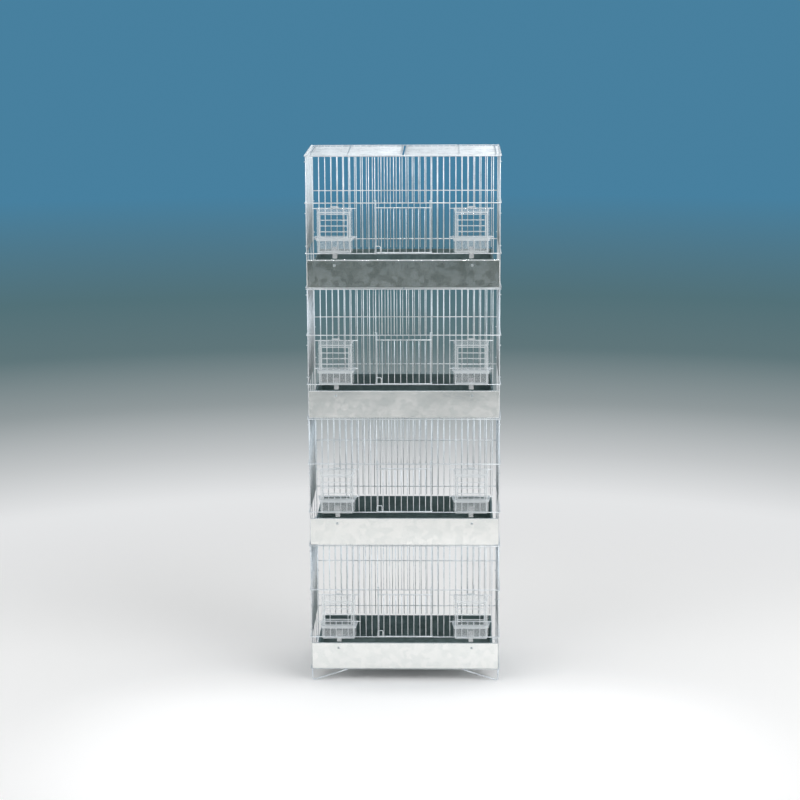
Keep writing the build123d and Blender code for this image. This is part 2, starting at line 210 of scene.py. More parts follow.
class CAGE_PG_feeder(bpy.types.PropertyGroup):
    """Sizes of the moulded feeders"""
    wall: length("Wall", "Thickness of the moulded plastic", 0.0016)
    taper: length("Taper", "How much narrower each side is at the front", 0.004)
    lean: length("Cup lean", "How far the cup's front leans in at its floor", 0.007)
    nose: length("Cup nose", "Setback of the rounding between the cup's front and floor", 0.0096)
    corner: length("Corner radius", "Radius of the moulded corners", 0.0045)
    cut: length("Soft edge", "Width of the softened edges of the moulding", 0.0003)
    flange: length("Rim flange", "How far the cup's rim stands out", 0.002)
    lip: length("Rim lip", "Height of the lip that hangs from the rim", 0.0050)
    drop: length("Hood drop", "How far the hood's roof falls to the front", 0.0060)
    hood_lean: length("Hood lean", "How far the hood's front leans in at its top", 0.002)
    window: length("Window width", "Clear width of the slotted window", 0.060)
    sill: length("Window sill", "From the hood's foot to the window", 0.004)
    window_head: length("Window head", "From the window to the hood's front top", 0.0065)
    bar: length("Window bar", "Height of a bar between two slots", 0.0024)
    slots: whole("Window slots", "Slots in the window", 4)
    frame: length("Window frame", "Width of the raised frame round the window", 0.0023)
    raise_by: length("Frame rise", "How far the window's frame stands out", 0.0011)
    tongue: length("Tongue width", "Width of the catch on the hood's roof", 0.018)
    lap: length("Tongue lap", "How far the catch reaches over the hatch wire", 0.0036)
    catch: length("Catch depth", "Depth of the raised bar in front of the tongue", 0.0042)
    catch_rise: length("Catch rise", "Height of the raised bar over the hood's roof", 0.0030)


class CAGE_PG_stand(bpy.types.PropertyGroup):
    """Sizes of the bent wire stands"""
    foot: length("Foot length", "How far a leg's foot is turned in", 0.0075)
    brace: length("Brace reach", "From a leg to the top of its brace", 0.0831)
    brace_weld: length("Brace weld", "From a leg to the weld of its brace", 0.082)
    bend: length("Bend radius", "Middle radius of a leg's bends", 0.003)


class CAGE_PG_finish(bpy.types.PropertyGroup):
    """Colours of the metal and the plastic"""
    zinc: colour("Bright zinc", "Wire where the zinc is bright", (0.82, 0.84, 0.85))
    zinc_dull: colour("Dull zinc", "Wire where the zinc has dulled", (0.64, 0.665, 0.68))
    zinc_metal: share("Zinc metal", "How metallic the wires are", 0.86)
    spangle: colour("Bright spangle", "Bright crystals of the front sheet", (0.86, 0.865, 0.845))
    spangle_dull: colour("Dull spangle", "Dull crystals of the front sheet", (0.81, 0.825, 0.805))
    outside: colour("Pan outside", "Bright crystals of the pan's outside", (0.66, 0.68, 0.68))
    outside_dull: colour("Dull outside", "Dull crystals of the pan's outside", (0.50, 0.53, 0.53))
    weathered: share("Pan weathering", "How much rougher the pan's outside is than the front", 0.2)
    # Painted shade: the pan's inside is made dark to stand for the shade inside the pan, and the stain
    # tone is real stains on that painted shade
    pan: colour("Pan inside", "Clean sheet of the pan's inside", (0.205, 0.27, 0.265))
    pan_stain: colour("Pan stain", "Stained sheet of the pan's inside", (0.12, 0.165, 0.16))
    plastic: colour("Clear plastic", "Tint of the feeders", (0.855, 0.905, 0.93))
    plastic_body: share("Clear body", "How much the clear plastic hides, seen square on", 0.085)
    # Painted highlight: ribs, rims and corners take a whiter, denser plastic that stands for the light
    # the clear edges catch
    frost: colour("Frosted plastic", "Tint of the feeders' ribs and corners", (0.84, 0.89, 0.915))
    frost_body: share("Frosted body", "How much the ribs and corners hide", 0.36)
    clip: colour("Clip plastic", "Tint of the clips", (0.88, 0.90, 0.91))
    clip_body: share("Clip body", "How much the clips hide", 0.38)


class CAGE_PG_stage(bpy.types.PropertyGroup):
    """Floor, lamps and camera"""
    floor: colour("Floor", "Pale floor at the front of the stack", (0.97, 0.975, 0.98))
    floor_back: colour("Floor behind", "Pale floor further away", (0.965, 0.97, 0.97))
    glow: share("Floor glow", "Own light of the floor in front of the stack, which lights nothing", 0.18)
    haze: colour("Middle distance", "Floor some paces away", (0.085, 0.165, 0.19))
    far: colour("Far distance", "Floor and sky far away", (0.064, 0.215, 0.345))
    unseen: colour("Far floor, unseen", "Light that the far floor throws back", (0.25, 0.27, 0.28))
    overhead: colour("Overhead", "Sky over the stack, seen in the metal", (0.42, 0.46, 0.50))
    dim: colour("Dim room", "Floor behind the camera, seen in the sheet", (0.085, 0.11, 0.105))
    floor_radius: length("Floor radius", "Radius of the floor", 40.0)
    glow_centre: spot("Pale centre", "Middle of the pale part of the floor", (0.0, -0.6, 0.0))
    # Painted shadow: the floor under the stack, within these half sizes, gets none of the floor's glow
    footprint: spot("Footprint", "Half the sizes of the floor under the stack", (0.24, 0.14, 1.0))
    key: watts("Key lamp", "Power of the lamp at the front left", 46.0)
    fill: watts("Fill lamp", "Power of the lamp at the front right", 64.0)
    top: watts("Top lamp", "Power of the lamp overhead", 46.0)
    crown: watts("Crown lamp", "Power of the narrow lamp at the top cage", 0.16)
    side: watts("Side lamps", "Power of each broad lamp beside the stack", 48.0)
    ambient: share("Ambient light", "Even light from all round", 0.18)
    camera: spot("Camera place", "Where the camera stands", (0.11, -5.1, 1.75))
    aim: spot("Camera aim", "What the middle of the picture shows", (-0.0114, 0.0, 0.6624))
    lens: focal("Lens", "Focal length in millimetres", 99.1)
    roll: degrees("Roll", "Tilt of the camera", math.radians(-0.29))


# Lamps: the value that holds their power, place, aim, width, height and spread in degrees
LAMPS = {
    "key_lamp": ("key", (-2.4, -2.5, 3.6), (0, 0, 0.9), 3.0, 3.0, 180),
    "fill_lamp": ("fill", (2.6, -2.2, 3.2), (0, 0, 0.9), 2.6, 2.6, 180),
    "top_lamp": ("top", (0.3, 0.9, 3.9), (0, 0.3, 0.6), 3.0, 3.0, 180),
    "crown_lamp": ("crown", (0.0, -2.6, 2.4), (0, -0.1, 1.2), 1.2, 0.2, 7),
    "left_lamp": ("side", (-3.0, -1.5, 1.2), (0, -1.5, 1.2), 6.0, 1.5, 180),
    "right_lamp": ("side", (3.0, -1.5, 1.2), (0, -1.5, 1.2), 6.0, 1.5, 180),
}
PLASTIC_IOR = 1.49


class Shade:
    """A socket in a node tree. Python's operators on it add Math nodes."""

    def __init__(self, tree, socket=None):
        self.tree = tree
        self.socket = socket

    def node(self, kind, settings=(), sockets=(), output=0):
        """Adds a node with its settings and its sockets' values or links, and gives one output."""
        made = self.tree.nodes.new(kind)
        for name, value in dict(settings).items():
            if name == "stops":
                self.set_stops(made.color_ramp, value)
            else:
                setattr(made, name, value)
        for name, value in dict(sockets).items():
            if isinstance(value, Shade):
                self.tree.links.new(value.socket, made.inputs[name])
            else:
                made.inputs[name].default_value = value
        return Shade(self.tree, made.outputs[output] if made.outputs else None)

    @staticmethod
    def set_stops(ramp, stops):
        """Gives a colour ramp its stops, as pairs of place and colour."""
        while len(ramp.elements) < len(stops):
            ramp.elements.new(1.0)
        for element, (place, tone) in zip(ramp.elements, stops):
            element.position = place
            element.color = (*tone, 1.0)

    def math(self, operation, first, second):
        return self.node("ShaderNodeMath", {"operation": operation}, {0: first, 1: second})

    def __add__(self, other):
        return self.math("ADD", self, other)

    def __radd__(self, other):
        return self.math("ADD", other, self)

    def __sub__(self, other):
        return self.math("SUBTRACT", self, other)

    def __rsub__(self, other):
        return self.math("SUBTRACT", other, self)

    def __mul__(self, other):
        return self.math("MULTIPLY", self, other)

    def __rmul__(self, other):
        return self.math("MULTIPLY", other, self)

    def __truediv__(self, other):
        return self.math("DIVIDE", self, other)

    def vector(self, operation, *values, output="Vector", **named):
        """Vector maths on places and colours."""
        sockets = {**dict(enumerate(values)), **named}
        return self.node("ShaderNodeVectorMath", {"operation": operation}, sockets, output)

    def noise(self, place, scale, detail=3.0, rough=0.5, output="Fac"):
        """Soft random patches of about 1 / scale metres."""
        sockets = {"Vector": place, "Scale": scale, "Detail": detail, "Roughness": rough}
        return self.node("ShaderNodeTexNoise", {}, sockets, output)

    def drawn_noise(self, place, scale, detail):
        """Noise that is drawn out along an axis."""
        drawn = self.node("ShaderNodeMapping", {}, {"Vector": place, "Scale": scale})
        return self.noise(drawn, 1.0, detail)

    def step(self, value, low, high):
        """A smooth rise from 0 at low to 1 at high."""
        settings = {"interpolation_type": "SMOOTHSTEP"}
        return self.node("ShaderNodeMapRange", settings, {0: value, 1: low, 2: high, 3: 0.0, 4: 1.0})

    def blend(self, factor, first, second):
        """One colour turning into another."""
        first, second = [tone if isinstance(tone, Shade) else (*tone, 1.0) for tone in (first, second)]
        return self.node("ShaderNodeMix", {"data_type": "RGBA"}, {0: factor, 6: first, 7: second}, 2)

    def bump(self, height, strength, depth):
        sockets = {"Strength": strength, "Distance": depth, "Height": height}
        return self.node("ShaderNodeBump", {}, sockets)

    def emission(self, tone):
        return self.node("ShaderNodeEmission", {}, {"Color": tone})

    def mixed(self, factor, first, second):
        return self.node("ShaderNodeMixShader", {}, {0: factor, 1: first, 2: second})


def new_finish(name):
    """An empty material, its tree and its place coordinates."""
    material = bpy.data.materials.get(name) or bpy.data.materials.new(name)
    material.use_nodes = True
    material.node_tree.nodes.clear()
    shade = Shade(material.node_tree)
    return material, shade, shade.node("ShaderNodeTexCoord", {}, {}, "Object")


def surface(shade, sockets):
    """Ends a material in one principled surface."""
    body = shade.node("ShaderNodeBsdfPrincipled", {}, sockets)
    shade.node("ShaderNodeOutputMaterial", {}, {"Surface": body})


def galvanised_wire(name="galvanised_wire"):
    """Bright zinc on drawn wire: dull patches, runs and a fine grain."""
    looks = bpy.context.scene.cage_finish
    material, shade, place = new_finish(name)
    patches = shade.noise(place, 34.0, detail=4.0, rough=0.6)
    runs = shade.noise(place, 260.0, rough=0.55)
    grain = shade.noise(place, 2600.0, detail=2.0)
    dull = shade.step(patches * 0.65 + runs * 0.35, 0.42, 0.66)
    surface(shade, {
        "Base Color": shade.blend(dull, looks.zinc, looks.zinc_dull),
        "Metallic": looks.zinc_metal,
        "Roughness": 0.34 + dull * 0.14 + grain * 0.08,
        "Normal": shade.bump(runs * 0.6 + grain * 0.4, strength=0.35, depth=0.00012),
    })
    return material


def spangled_sheet(name, clean, dulled, weathered):
    """Galvanised sheet: zinc crystals that lie at slightly different angles, on a wavy sheet."""
    material, shade, place = new_finish(name)
    half_grey = (0.5, 0.5, 0.5)
    warp = shade.noise(place, 110.0, detail=2.0, output="Color")
    warp = shade.vector("SCALE", shade.vector("SUBTRACT", warp, half_grey), Scale=0.009)
    bent = shade.vector("ADD", place, warp)
    cells = {"Vector": bent, "Scale": 78.0}
    crystal = shade.node("ShaderNodeTexVoronoi", {}, cells, "Color")
    centre = shade.node("ShaderNodeTexVoronoi", {}, cells, "Position")
    edge = shade.node("ShaderNodeTexVoronoi", {"feature": "DISTANCE_TO_EDGE"}, cells, "Distance")
    tilt = shade.vector("SUBTRACT", crystal, half_grey)
    from_centre = shade.vector("SUBTRACT", bent, centre)
    facet = shade.vector("DOT_PRODUCT", from_centre, tilt, output="Value")
    bright = shade.node("ShaderNodeSeparateColor", {}, {"Color": crystal}, "Green")
    waves = shade.noise(place, 9.0, detail=1.0)
    smears = shade.noise(place, 26.0, detail=4.0, rough=0.6)
    grain = shade.noise(place, 1900.0, detail=2.0)
    border = 1.0 - shade.step(edge, 0.0, 0.05)
    dull = shade.step(bright * 0.55 + smears * 0.6, 0.32, 0.86)
    height = facet * shade.step(edge, 0.0, 0.25) * 0.005 + waves * 0.0012 + grain * 0.000003
    surface(shade, {
        "Base Color": shade.blend(dull, clean, dulled),
        "Metallic": 0.96,
        "Roughness": 0.13 + weathered + dull * 0.08 + border * 0.03,
        "Normal": shade.bump(height, strength=1.0, depth=1.0),
    })
    return material


def dull_sheet():
    """Sheet of the pan's inside: zinc darkened as painted shade inside the pan, with stains and fine
    scratches.
    """
    looks = bpy.context.scene.cage_finish
    material, shade, place = new_finish("dull_sheet")
    stains = shade.noise(place, 17.0, detail=5.0, rough=0.62)
    blots = shade.noise(place, 70.0)
    scratches = shade.drawn_noise(place, (12.0, 340.0, 340.0), detail=3.0)
    stain = shade.step(stains * 0.7 + blots * 0.3, 0.36, 0.64)
    surface(shade, {
        # Painted shade: the dark inside tone stands for the shade in the pan, with real stains over it
        "Base Color": shade.blend(stain, looks.pan, looks.pan_stain),
        "Metallic": 0.65,
        "Roughness": 0.40 + stain * 0.18 + scratches * 0.08,
        "Normal": shade.bump(scratches * 0.5 + blots * 0.5, strength=0.25, depth=0.0003),
    })
    return material


def clear_plastic():
    """Clear moulded plastic with a faint haze, flow lines and scuffs, denser seen edge on."""
    looks = bpy.context.scene.cage_finish
    material, shade, place = new_finish("clear_plastic")
    haze = shade.noise(place, 42.0)
    flow = shade.drawn_noise(place, (420.0, 420.0, 60.0), detail=2.0)
    worn = shade.step(shade.noise(place, 620.0, detail=4.0, rough=0.65), 0.56, 0.74)
    edge_on = shade.node("ShaderNodeLayerWeight", {}, {"Blend": 0.35}, "Facing")
    surface(shade, {
        "Base Color": (*looks.plastic, 1.0),
        "Alpha": looks.plastic_body + haze * 0.04 + worn * 0.05 + edge_on * 0.16,
        "IOR": PLASTIC_IOR,
        "Specular IOR Level": 0.8,
        "Roughness": 0.07 + haze * 0.05 + worn * 0.10,
        "Normal": shade.bump(flow * 0.8 + haze * 0.2, strength=0.12, depth=0.0003),
    })
    return material


def frosted_plastic():
    """The same plastic, whiter and denser on ribs, rims and corners: a painted highlight for the light
    that the clear moulding's edges catch.
    """
    looks = bpy.context.scene.cage_finish
    material, shade, place = new_finish("frosted_plastic")
    haze = shade.noise(place, 85.0)
    scuffs = shade.noise(place, 900.0, detail=4.0, rough=0.65)
    worn = shade.step(scuffs, 0.5, 0.7)
    surface(shade, {
        # Painted highlight: the whiter tint and denser body stand for light caught in the moulding's
        # edges
        "Base Color": shade.blend(haze, looks.frost, looks.frost * 0.94),
        "Alpha": looks.frost_body + haze * 0.16 + worn * 0.06,
        "IOR": PLASTIC_IOR,
        "Specular IOR Level": 0.6,
        "Roughness": 0.16 + haze * 0.1 + worn * 0.12,
        "Normal": shade.bump(haze * 0.6 + scuffs * 0.4, strength=0.15, depth=0.0002),
    })
    return material


def clip_plastic():
    """Milky plastic of the clips, a little scuffed."""
    looks = bpy.context.scene.cage_finish
    material, shade, place = new_finish("clip_plastic")
    haze = shade.noise(place, 190.0)
    scuffs = shade.noise(place, 1300.0, detail=4.0, rough=0.65)
    worn = shade.step(scuffs, 0.5, 0.7)
    surface(shade, {
        "Base Color": shade.blend(haze, looks.clip, looks.clip * 0.88),
        "Alpha": looks.clip_body + haze * 0.2 + worn * 0.08,
        "IOR": PLASTIC_IOR,
        "Roughness": 0.26 + haze * 0.1 + worn * 0.14,
        "Normal": shade.bump(haze * 0.7 + scuffs * 0.3, strength=0.15, depth=0.0002),
    })
    return material


def seen_rays(shade):
    """1 for what the camera sees, also in metal and through plastic, and 0 for what only gets light."""
    rays = ("Is Camera Ray", "Is Glossy Ray", "Is Transmission Ray")
    camera, glossy, through = [shade.node("ShaderNodeLightPath", {}, {}, ray) for ray in rays]
    return shade.step(camera + glossy + through, 0.0, 1.0)


def pale_floor():
    """Pale floor near the stack that fades to the far tones, which light nothing, with its glow held
    back under the stack as a painted shadow.
    """
    stage = bpy.context.scene.cage_stage
    material, shade, place = new_finish("pale_floor")
    away = shade.vector("SUBTRACT", place, stage.glow_centre)
    distance = shade.vector("LENGTH", away, output="Value")
    seen = seen_rays(shade)
    # Painted shadow: the glow is held back under the stack, so the floor there stays darker than the
    # floor round it, over the lamps' real shadow
    under = shade.vector("SUBTRACT", place, (0.0, MIDDLE_Y, 0.0))
    under = shade.vector("DIVIDE", under, stage.footprint)
    clear = shade.step(shade.vector("LENGTH", under, output="Value"), 1.1, 1.8)
    forward = 0.0 - shade.node("ShaderNodeSeparateXYZ", {}, {0: place}, "Y")
    front = shade.step(forward, -0.05, 0.3) * shade.step(distance, 0.95, 0.5)
    own = shade.blend(clear * front * seen, (0.0, 0.0, 0.0), [stage.glow] * 3)
    pale = shade.blend(shade.step(distance, 0.4, 1.2), stage.floor, stage.floor_back)
    lit = shade.node("ShaderNodeBsdfDiffuse", {}, {"Color": pale})
    close = shade.node("ShaderNodeAddShader", {}, {0: lit, 1: shade.emission(own)})
    reach = 20.0
    stops = [
        (0.0, (0.80, 0.81, 0.82)),
        (0.115, (0.78, 0.79, 0.80)),
        (0.145, (0.54, 0.56, 0.57)),
        (0.185, (0.28, 0.32, 0.33)),
        (0.24, (0.115, 0.18, 0.195)),
        (0.31, stage.haze),
        (0.52, stage.far),
    ]
    tone = shade.node("ShaderNodeValToRGB", {"stops": stops}, {"Fac": distance / reach})
    tone = shade.blend(shade.step(forward, 3.6, 6.0), tone, stage.dim)
    unseen = shade.node("ShaderNodeBsdfDiffuse", {}, {"Color": (*stage.unseen, 1.0)})
    distant = shade.mixed(seen, unseen, shade.emission(tone))
    ground = shade.mixed(shade.step(distance, 1.2, 2.4), close, distant)
    shade.node("ShaderNodeOutputMaterial", {}, {"Surface": ground})
    return material


def far_sky():
    """The backdrop over the floor's edge, and the even light."""
    stage = bpy.context.scene.cage_stage
    world = bpy.data.worlds.new("far_sky")
    world.use_nodes = True
    world.node_tree.nodes.clear()
    shade = Shade(world.node_tree)
    upward = shade.node("ShaderNodeTexCoord", {}, {}, "Generated")
    height = shade.node("ShaderNodeSeparateXYZ", {}, {0: upward}, "Z")
    tone = shade.blend(shade.step(height, 0.15, 0.9), stage.far, stage.overhead)
    backdrop = shade.node("ShaderNodeBackground", {}, {"Color": tone})
    white = {"Color": (1.0, 1.0, 1.0, 1.0), "Strength": stage.ambient}
    even = shade.node("ShaderNodeBackground", {}, white)
    sky = shade.mixed(seen_rays(shade), even, backdrop)
    shade.node("ShaderNodeOutputWorld", {}, {"Surface": sky})
    return world


def start_piece(name):
    """Opens an empty mesh in edit mode."""
    bpy.ops.object.select_all(action="DESELECT")
    bpy.ops.mesh.primitive_plane_add(size=0.01)
    piece = bpy.context.object
    piece.name = name
    piece.data.name = name
    bpy.ops.object.mode_set(mode="EDIT")
    bpy.ops.mesh.delete(type="VERT")
    return piece


def start_block(name, low, high):
    """Opens a block in edit mode that fills the space between two corners."""
    piece = start_piece(name)
    middle = (low + high) / 2
    bpy.ops.mesh.primitive_cube_add(size=1.0, location=middle)
    stretch(high - low, middle)
    return piece


def middle_of(part):
    """The middle of a mesh's edge or face."""
    return sum((corner.co for corner in part.verts), Vector()) / len(part.verts)


def choose(kind, test):
    """Selects the corners, edges or faces that pass a test."""
    bpy.ops.mesh.select_mode(type=kind)
    bpy.ops.mesh.select_all(action="DESELECT")
    mesh = bmesh.from_edit_mesh(bpy.context.object.data)
    parts = {"VERT": mesh.verts, "EDGE": mesh.edges, "FACE": mesh.faces}[kind]
    found = [part for part in parts if test(part)]
    for part in found:
        part.select_set(True)
    mesh.select_flush_mode()
    bmesh.update_edit_mesh(bpy.context.object.data)
    if not found:
        raise RuntimeError(f"nothing to shape on {bpy.context.object.name}")


def near(value, place, slack=SLACK):
    return abs(value - place) < slack


def all_near(part, axis, place):
    """Whether every corner of an edge or face lies at one place along an axis."""
    return all(near(corner.co[axis], place) for corner in part.verts)


def stretch(factors, centre):
    """Scales what is selected from a place."""
    bpy.ops.transform.resize(value=factors, center_override=centre)


def draw_out(offset):
    """Extrudes what is selected."""
    bpy.ops.mesh.extrude_region_move(TRANSFORM_OT_translate={"value": offset})


def round_off(setback, segments):
    """Rounds the selected edges."""
    bpy.ops.mesh.bevel(offset=setback, segments=segments, affect="EDGES")


def cut_away(test):
    """Deletes the faces that pass a test."""
    choose("FACE", test)
    bpy.ops.mesh.delete(type="FACE")


def cut_along(test, place, normal):
    """Cuts the faces that pass a test along a plane."""
    choose("FACE", test)
    bpy.ops.mesh.bisect(plane_co=place, plane_no=normal)


def copy_along(places):
    """Copies what is selected at the first place to the others."""
    for before, after in zip(places, places[1:]):
        bpy.ops.mesh.duplicate_move(TRANSFORM_OT_translate={"value": after - before})


def lay_wire(path, radius, bend=0.0):
    """Draws a round wire along a path, its corners bent to a radius."""
    runs = [after - before for before, after in zip(path, path[1:])]
    aim = runs[0].to_track_quat("Z", "Y").to_euler()
    bpy.ops.mesh.select_all(action="DESELECT")
    bpy.ops.mesh.primitive_circle_add(
        vertices=WIRE_SIDES, radius=radius, fill_type="NGON", location=path[0], rotation=aim
    )
    spent = 0.0
    for run, ahead, corner in zip(runs, runs[1:], path[1:]):
        turn = run.angle(ahead)
        setback = bend * math.tan(turn / 2)
        along = run.normalized()
        draw_out(along * (run.length - spent - setback))
        inward = (ahead.normalized() - along * math.cos(turn)).normalized()
        centre = corner - along * setback + inward * bend
        axis = run.cross(ahead).normalized()
        bpy.ops.mesh.spin(steps=BEND_STEPS, angle=-turn, center=centre, axis=axis)
        spent = setback
    draw_out(runs[-1].normalized() * (runs[-1].length - spent))


def lay_row(start, end, radius, step, count):
    """Draws a straight wire and copies it along a row."""
    lay_wire([start, end], radius)
    bpy.ops.mesh.select_linked()
    copy_along([start + step * n for n in range(count)])


def lay_uprights(origin, step, runs, foot, head, radius):
    """Draws runs of upright wires from one height to another."""
    for first, count in runs:
        start = origin + step * first
        lay_row(start + UP * foot, start + UP * head, radius, step, count)


def round_tips(radius):
    """Rounds the cut ends of all wires and turns every face outwards."""
    bpy.ops.mesh.select_all(action="SELECT")
    bpy.ops.mesh.normals_make_consistent(inside=False)
    bpy.ops.mesh.select_all(action="DESELECT")
    bpy.ops.mesh.select_mode(type="FACE")
    bpy.ops.mesh.select_face_by_sides(number=4, type="GREATER")
    bpy.ops.mesh.inset(thickness=radius * TIP_INSET, depth=radius * TIP_RISE, use_individual=True)
    bpy.ops.mesh.select_mode(type="VERT")


def add_welds(places, size):
    """Sets a bead of weld at one crossing and copies it to the others."""
    bpy.ops.mesh.select_all(action="DESELECT")
    bpy.ops.mesh.primitive_uv_sphere_add(segments=6, ring_count=4, radius=1.0, location=places[0])
    stretch(size, places[0])
    copy_along(places)


def bead(wire, flat):
    """Half the sizes of a bead of weld that is flat along an axis."""
    return [wire.weld * (wire.weld_flat if axis == flat else 1.0) for axis in range(3)]


def face_out(outward):
    """Turns the faces of an open skin one way, so that its broadest flat face points outwards."""
    bpy.ops.mesh.select_all(action="SELECT")
    bpy.ops.mesh.normals_make_consistent(inside=False)
    mesh = bmesh.from_edit_mesh(bpy.context.object.data)
    across = [face for face in mesh.faces if abs(face.normal.dot(outward)) > FLAT]
    broadest = max(across, key=lambda face: face.calc_area())
    if broadest.normal.dot(outward) < 0:
        bpy.ops.mesh.flip_normals()


def close_piece(angle=SMOOTH_WIRE):
    """Leaves edit mode and smooths what is round."""
    bpy.ops.mesh.select_mode(type="VERT")
    bpy.ops.object.mode_set(mode="OBJECT")
    bpy.ops.object.shade_smooth_by_angle(angle=math.radians(angle))
    return bpy.context.object


def apply_modifier(piece, kind, **settings):
    """Adds a modifier to a piece and applies it."""
    modifier = piece.modifiers.new(kind.lower(), kind)
    for name, value in settings.items():
        setattr(modifier, name, value)
    bpy.ops.object.modifier_apply(modifier=modifier.name)


def thicken(piece, wall, inner_slot=0):
    """Gives a skin its thickness, inwards."""
    apply_modifier(
        piece, "SOLIDIFY", thickness=wall, offset=-1.0, use_even_offset=True, material_offset=inner_slot
    )


def soften(piece, width, angle):
    """Takes the sharpness off the edges of a piece."""
    apply_modifier(piece, "BEVEL", width=width, segments=2, limit_method="ANGLE", angle_limit=angle)


def keep_flats(piece):
    """Smooths the rounded edges and leaves the broad faces flat."""
    bpy.ops.object.shade_smooth_by_angle(angle=math.radians(SMOOTH_SHEET))
    apply_modifier(piece, "WEIGHTED_NORMAL", mode="FACE_AREA", weight=50, keep_sharp=True)


def open_slots(piece):
    """Makes room for two finishes on one piece."""
    for _ in range(2):
        piece.data.materials.append(None)


def mark_second(piece):
    """Marks the selected faces for the second finish."""
    piece.active_material_index = 1
    bpy.ops.object.material_slot_assign()


def copy_piece(piece, name, offset):
    """A copy with its own mesh, moved, with its place in the mesh."""
    bpy.ops.object.select_all(action="DESELECT")
    piece.select_set(True)
    bpy.context.view_layer.objects.active = piece
    bpy.ops.object.duplicate_move(
        OBJECT_OT_duplicate={"linked": False}, TRANSFORM_OT_translate={"value": offset}
    )
    copy = bpy.context.object
    bpy.ops.object.transform_apply(location=True, rotation=True, scale=True)
    copy.name = name
    copy.data.name = name
    return copy


def give(piece, finishes, slot, body, *nodes):
    """Gives a piece its finishes, the body that it rides on and the nodes it stands for. The slot is not
    used.
    """
    marks = [face.material_index for face in piece.data.polygons]
    piece.data.materials.clear()
    for finish in finishes:
        piece.data.materials.append(finish)
    piece.data.polygons.foreach_set("material_index", marks)
    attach(piece, body)
    if nodes:
        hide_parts(*nodes)


def stack_up(piece, part, finishes, slot, mover=""):
    """Copies a piece of cage 1 to the cages above, and finishes them all."""
    tower = [piece]
    for number in range(1, CAGE_COUNT):
        tower.append(copy_piece(piece, part, UP * CAGE_PITCH * number))
    for number, copy in enumerate(tower, 1):
        copy.name = f"cage_{number}.{part}"
        copy.data.name = copy.name
        nodes = [node for node in frame["nodes"] if node == f"cage_{number}_{part}"]
        give(copy, finishes, slot, f"cage_{number}{mover}", *nodes)


def finish_grille(wire, part, places, flat):
    """Rounds a grille's wire ends, welds its crossings and puts it on every cage."""
    round_tips(wire.fill)
    add_welds(places, bead(wire, flat))
    stack_up(close_piece(), part, [galvanised_wire()], "wire")


def at(x, y, z):
    """A place on cage 1, with its height over the cage's base."""
    return Vector((x, y, STACK_BASE + z))


def crossings(across, y, heights):
    """The places where uprights cross rails."""
    return [at(x, y, z) for z in heights for x in across]


def front_wires(wire):
    """Where the uprights of a front or rear stand, from left to right."""
    return [(n + 0.5) * wire.pitch for n in range(-wire.half_count, wire.half_count)]


def side_wires(wire):
    """Where the wires of a side or roof lie, from front to rear."""
    return [MIDDLE_Y + n * wire.pitch for n in range(-wire.depth_count, wire.depth_count + 1)]


def grille_depth(wire):
    """From a grille's outer face to the inside of its wires."""
    return 2 * wire.rail + 2 * wire.seat * wire.fill


def lay_front_rails(wire, y):
    """Draws the three rails of a front or rear, and gives their heights."""
    reach = SIDE_FACE - 2 * wire.rail
    heights = (wire.bottom_rail, wire.middle_rail, wire.top_rail)
    for z in heights:
        lay_wire([at(-reach, y, z), at(reach, y, z)], wire.rail)
    return heights


def between_ends(wire):
    """From the last upright at the left to the last at the right."""
    return Vector((2 * (SIDE_FACE - 2 * wire.rail - wire.post_inset), 0, 0))


class CAGE_OT_front_grilles(bpy.types.Operator):
    """Models the welded front grilles, with their door holes and feeder hatches"""
    bl_idname = "cage.front_grilles"
    bl_label = "Front grilles"

    def execute(self, context):
        wire = context.scene.cage_wires
        seam_y = FRONT_FACE + 2 * wire.rail
        origin = at(0, seam_y + wire.seat * wire.fill, 0)
        step = Vector((wire.pitch, 0, 0))
        foot = wire.bottom_rail - wire.rail
        head = wire.top_rail + wire.rail
        hatch = (wire.hatch_sill, wire.hatch_head)
        start_piece("front_grille")
        lay_uprights(origin, step, FULL_RUNS, foot, head, wire.fill)
        lay_uprights(origin, between_ends(wire), PAIR, foot, head, wire.fill)
        lay_uprights(origin, step, DOOR_RUNS, wire.middle_rail - wire.rail, head, wire.fill)
        lay_uprights(origin, step, HATCH_RUNS, foot, wire.hatch_sill + wire.cross, wire.fill)
        lay_uprights(origin, step, HATCH_RUNS, wire.hatch_head - wire.cross, head, wire.fill)
        rails = lay_front_rails(wire, FRONT_FACE + wire.rail)
        span = Vector((HATCH_SPAN * wire.pitch + 2 * wire.fill, 0, 0))
        for first in HATCH_BARS:
            for z in hatch:
                start = at(first * wire.pitch - wire.fill, seam_y - wire.cross, z)
                lay_wire([start, start + span], wire.cross)
        uprights = front_wires(wire)
        beside_door = [x for x in uprights if abs(x) > DOOR_EDGE * wire.pitch]
        round_hatch = [x for x in uprights if abs(x) > HATCH_SPAN * wire.pitch]
        places = crossings(uprights, seam_y, rails[1:])
        places += crossings(beside_door, seam_y, rails[:1])
        places += crossings(round_hatch, seam_y, hatch)
        finish_grille(wire, "front_grille", places, flat=1)
        return {"FINISHED"}


class CAGE_OT_rear_grilles(bpy.types.Operator):
    """Models the welded rear grilles"""
    bl_idname = "cage.rear_grilles"
    bl_label = "Rear grilles"

    def execute(self, context):
        wire = context.scene.cage_wires
        seam_y = REAR_FACE - 2 * wire.rail
        origin = at(0, seam_y - wire.seat * wire.fill, 0)
        step = Vector((wire.pitch, 0, 0))
        head = wire.top_rail + wire.rail
        runs = ((0.5 - wire.half_count, 2 * wire.half_count),)
        start_piece("rear_grille")
        lay_uprights(origin, step, runs, wire.rear_foot, head, wire.fill)
        lay_uprights(origin, between_ends(wire), PAIR, wire.rear_foot, head, wire.fill)
        rails = lay_front_rails(wire, REAR_FACE - wire.rail)
        finish_grille(wire, "rear_grille", crossings(front_wires(wire), seam_y, rails), flat=1)
        return {"FINISHED"}


